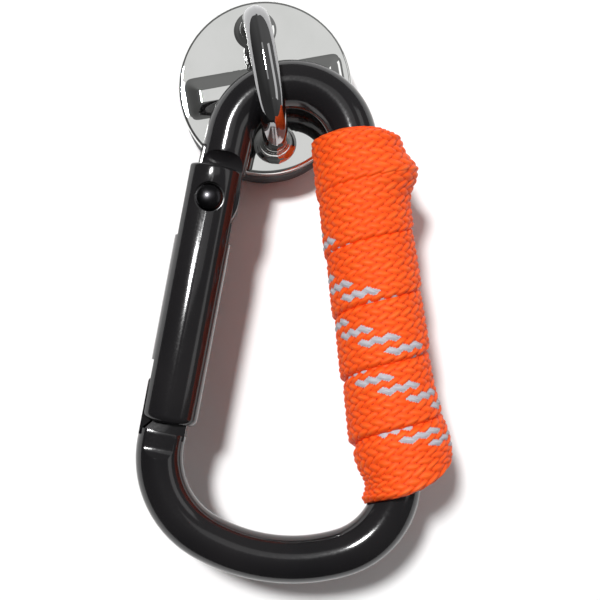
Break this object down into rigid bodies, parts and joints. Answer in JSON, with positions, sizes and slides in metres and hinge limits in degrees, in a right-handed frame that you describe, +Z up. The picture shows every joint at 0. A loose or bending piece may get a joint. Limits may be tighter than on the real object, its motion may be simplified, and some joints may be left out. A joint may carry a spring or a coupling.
{
  "type": "magnetic carabiner hook",
  "caption": "Round magnetic wall base with a cast eye, carrying a snap-gate carabiner whose spine is wound with braided cord.",
  "frame": {"origin": "centre of the rubber face that sits on the wall", "axes": "+Y goes into the wall, the hook stands out along -Y, +Z is up through the eye's two feet, +X is to the right of someone facing the wall"},
  "size_m": [0.0532, 0.0292, 0.101],
  "materials": {
    "cap_chrome": "bright plated casting",
    "cup_steel": "zinc plated",
    "spacer_plastic": "natural nylon",
    "magnet_plating": "nickel plated",
    "boot_rubber": "matt black",
    "black_anodised": "glossy black anodised",
    "rivet_steel": "blackened",
    "spring_steel": "bright drawn",
    "cord_braid": "orange braid with a grey reflective tracer"
  },
  "bodies": {
    "base": {"cast_base": "cap_chrome", "steel_cup": "cup_steel", "spacer_ring": "spacer_plastic", "ring_magnet": "magnet_plating", "cup_screw": "cup_steel", "rubber_boot": "boot_rubber"},
    "carabiner": {"carabiner_body": "black_anodised", "cord_wrap": "cord_braid"},
    "gate_arm": {"gate": "black_anodised", "hinge_rivet": "rivet_steel", "gate_spring": "spring_steel"},
    "plunger": {"gate_plunger": "spring_steel"}
  },
  "joints": [
    {"name": "carabiner_swing", "type": "hinge", "parent": "base", "child": "carabiner", "pos_m": [0, -0.0204, -0.00958], "axis": [0, 1, 0], "range_deg": [-75, 75]},
    {"name": "gate_hinge", "type": "hinge", "parent": "carabiner", "child": "gate_arm", "pos_m": [-0.01277, -0.0204, -0.01942], "axis": [0, -1, 0], "range_deg": [0, 32], "stiffness_Nm_per_rad": 0.3, "springref_deg": -28.65},
    {"name": "plunger_slide", "type": "slide", "parent": "gate_arm", "child": "plunger", "axis": [-0.3535, 0, -0.9354], "range_m": [0, 0.001], "deforming": ["gate_spring"]}
  ],
  "couplings": [
    {"joint": "plunger_slide", "follows": "gate_hinge", "m_per_rad": 0.00172}
  ]
}
